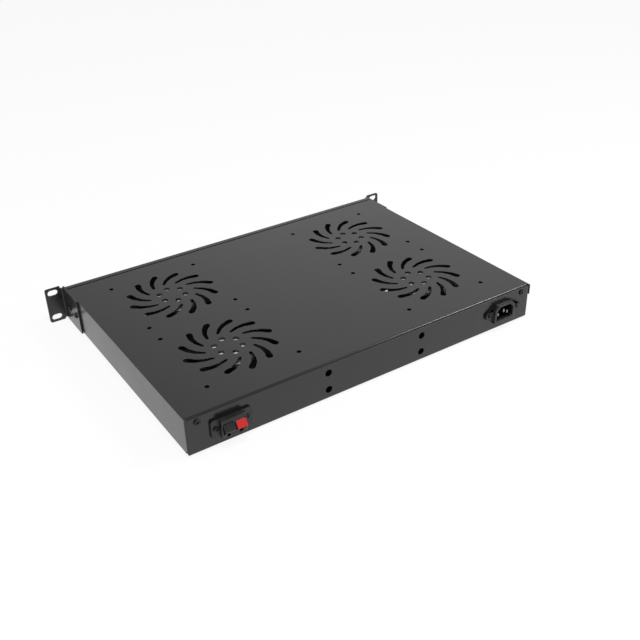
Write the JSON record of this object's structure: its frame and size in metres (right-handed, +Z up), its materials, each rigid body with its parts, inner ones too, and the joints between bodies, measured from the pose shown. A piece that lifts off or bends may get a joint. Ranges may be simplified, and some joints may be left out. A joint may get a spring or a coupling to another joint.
{
  "type": "rack fan tray",
  "caption": "Shallow punched-steel cooling tray for a 19-inch rack, with horizontal fans under comma-slot vents, mains inlet, sensor terminal and front thermostat.",
  "frame": {"origin": "centre of the bounding box, at its bottom: middle of the tray from side to side and front to back, level with the lower edges of the rack ears", "axes": "+X to the right seen from the front (across the rack), +Y to the rear panel with the mains inlet, +Z up; front of the rack ears faces -Y"},
  "size_m": [0.4826, 0.3308, 0.0436],
  "materials": {
    "powder_coat": "fine-textured satin powder coat",
    "black_screws": "black-passivated steel, slight sheen",
    "zinc_steel": "zinc-plated",
    "fan_plastic": "glass-filled nylon, matte",
    "blade_plastic": "matte moulded plastic",
    "rotor_steel": "drawn and plated steel",
    "windings": "enamelled copper wire on a steel stack",
    "bronze": "sintered bronze",
    "inlet_plastic": "moulded thermoset, slight sheen",
    "plated_contacts": "nickel-plated brass",
    "terminal_plastic": "moulded nylon",
    "red_plastic": "glossy moulded plastic",
    "black_plastic": "glossy moulded plastic",
    "bezel_plastic": "fine-textured moulded plastic",
    "display_window": "dark red tinted window, polished",
    "board": "solder-masked laminate",
    "button_plastic": "satin moulded plastic"
  },
  "bodies": {
    "tray": {"base_tray": "powder_coat", "top_cover": "powder_coat", "rack_ear_right": "powder_coat", "rack_ear_left": "powder_coat", "ear_screws": "black_screws", "cover_screws": "black_screws", "inlet_screws": "black_screws", "terminal_screws": "black_screws", "fan_screws": "black_screws", "ear_nuts": "zinc_steel", "cover_nuts": "zinc_steel", "inlet_nuts": "zinc_steel", "terminal_nuts": "zinc_steel", "lever_pin": "zinc_steel", "fan_frame_1": "fan_plastic", "stator_1": "windings", "bearing_1": "bronze", "fan_frame_2": "fan_plastic", "stator_2": "windings", "bearing_2": "bronze", "fan_frame_3": "fan_plastic", "stator_3": "windings", "bearing_3": "bronze", "fan_frame_4": "fan_plastic", "stator_4": "windings", "bearing_4": "bronze", "inlet_housing": "inlet_plastic", "inlet_pins": "plated_contacts", "terminal_contacts": "plated_contacts", "switch_tabs": "plated_contacts", "terminal_block": "terminal_plastic", "thermostat_case": "bezel_plastic", "display_lens": "display_window", "thermostat_board": "board", "switch_case": "bezel_plastic"},
    "rotor_1": {"rotor_cup_1": "rotor_steel", "impeller_1": "blade_plastic"},
    "rotor_2": {"rotor_cup_2": "rotor_steel", "impeller_2": "blade_plastic"},
    "rotor_3": {"rotor_cup_3": "rotor_steel", "impeller_3": "blade_plastic"},
    "rotor_4": {"rotor_cup_4": "rotor_steel", "impeller_4": "blade_plastic"},
    "red_lever_body": {"red_lever": "red_plastic"},
    "black_lever_body": {"black_lever": "black_plastic"},
    "rocker_body": {"rocker": "black_plastic"},
    "set_button_1_body": {"set_button_1": "button_plastic"},
    "set_button_2_body": {"set_button_2": "button_plastic"},
    "set_button_3_body": {"set_button_3": "button_plastic"}
  },
  "joints": [
    {"name": "fan_1_spin", "type": "hinge", "parent": "tray", "child": "rotor_1", "pos_m": [-0.1242, -0.06795, 0.03], "axis": [0, 0, 1], "continuous": true},
    {"name": "fan_2_spin", "type": "hinge", "parent": "tray", "child": "rotor_2", "pos_m": [0.1242, -0.06795, 0.03], "axis": [0, 0, 1], "continuous": true},
    {"name": "fan_3_spin", "type": "hinge", "parent": "tray", "child": "rotor_3", "pos_m": [-0.1242, 0.06445, 0.03], "axis": [0, 0, 1], "continuous": true},
    {"name": "fan_4_spin", "type": "hinge", "parent": "tray", "child": "rotor_4", "pos_m": [0.1242, 0.06445, 0.03], "axis": [0, 0, 1], "continuous": true},
    {"name": "red_lever_press", "type": "hinge", "parent": "tray", "child": "red_lever_body", "pos_m": [0.16585, 0.15665, 0.0249], "axis": [-1, 0, 0], "range_deg": [0, 12], "stiffness_Nm_per_rad": 0.05},
    {"name": "black_lever_press", "type": "hinge", "parent": "tray", "child": "black_lever_body", "pos_m": [0.17915, 0.15665, 0.0249], "axis": [-1, 0, 0], "range_deg": [0, 12], "stiffness_Nm_per_rad": 0.05},
    {"name": "rocker_tip", "type": "hinge", "parent": "tray", "child": "rocker_body", "pos_m": [0.076, -0.15865, 0.0226], "axis": [0, 0, 1], "range_deg": [0, 18]},
    {"name": "set_button_1_press", "type": "slide", "parent": "tray", "child": "set_button_1_body", "axis": [0, 1, 0], "range_m": [0, 0.0008], "stiffness_N_per_m": 300},
    {"name": "set_button_2_press", "type": "slide", "parent": "tray", "child": "set_button_2_body", "axis": [0, 1, 0], "range_m": [0, 0.0008], "stiffness_N_per_m": 300},
    {"name": "set_button_3_press", "type": "slide", "parent": "tray", "child": "set_button_3_body", "axis": [0, 1, 0], "range_m": [0, 0.0008], "stiffness_N_per_m": 300}
  ]
}
